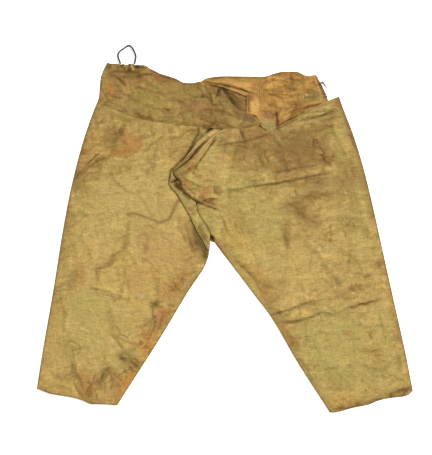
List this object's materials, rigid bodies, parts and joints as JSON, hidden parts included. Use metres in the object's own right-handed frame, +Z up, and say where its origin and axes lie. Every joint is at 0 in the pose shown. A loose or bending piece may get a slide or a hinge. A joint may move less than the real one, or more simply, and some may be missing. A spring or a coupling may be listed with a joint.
{
  "type": "silk trousers",
  "caption": "Old silk trousers laid flat: wide folded legs, a crotch gusset folded over to one side, a deep torn waistband and a short drawstring loop.",
  "frame": {"origin": "middle of the cloth's footprint, on the surface that it lies on, without the drawstring loop", "axes": "+X across the garment to the right as seen from above, +Y from the hems to the waist, +Z up off the surface"},
  "size_m": [0.903, 0.8824, 0.0106],
  "materials": {
    "leg_silk": "aged olive-gold tabby silk, creased, with brown stains and tide lines",
    "waistband_silk": "aged brown-olive tabby silk, creased and torn",
    "inner_silk": "orange-brown inner side of the waistband, mottled",
    "gusset_silk": "greenish olive tabby silk, worn at its fold",
    "cord": "thin dark brown twisted silk cord, matte"
  },
  "bodies": {
    "root": {"leg_left": "leg_silk", "leg_right": "leg_silk", "crotch_gusset": "gusset_silk", "waistband": "waistband_silk", "waistband_back_end": "inner_silk", "waistband_tab": "gusset_silk", "drawstring_loop": "cord"}
  },
  "joints": []
}
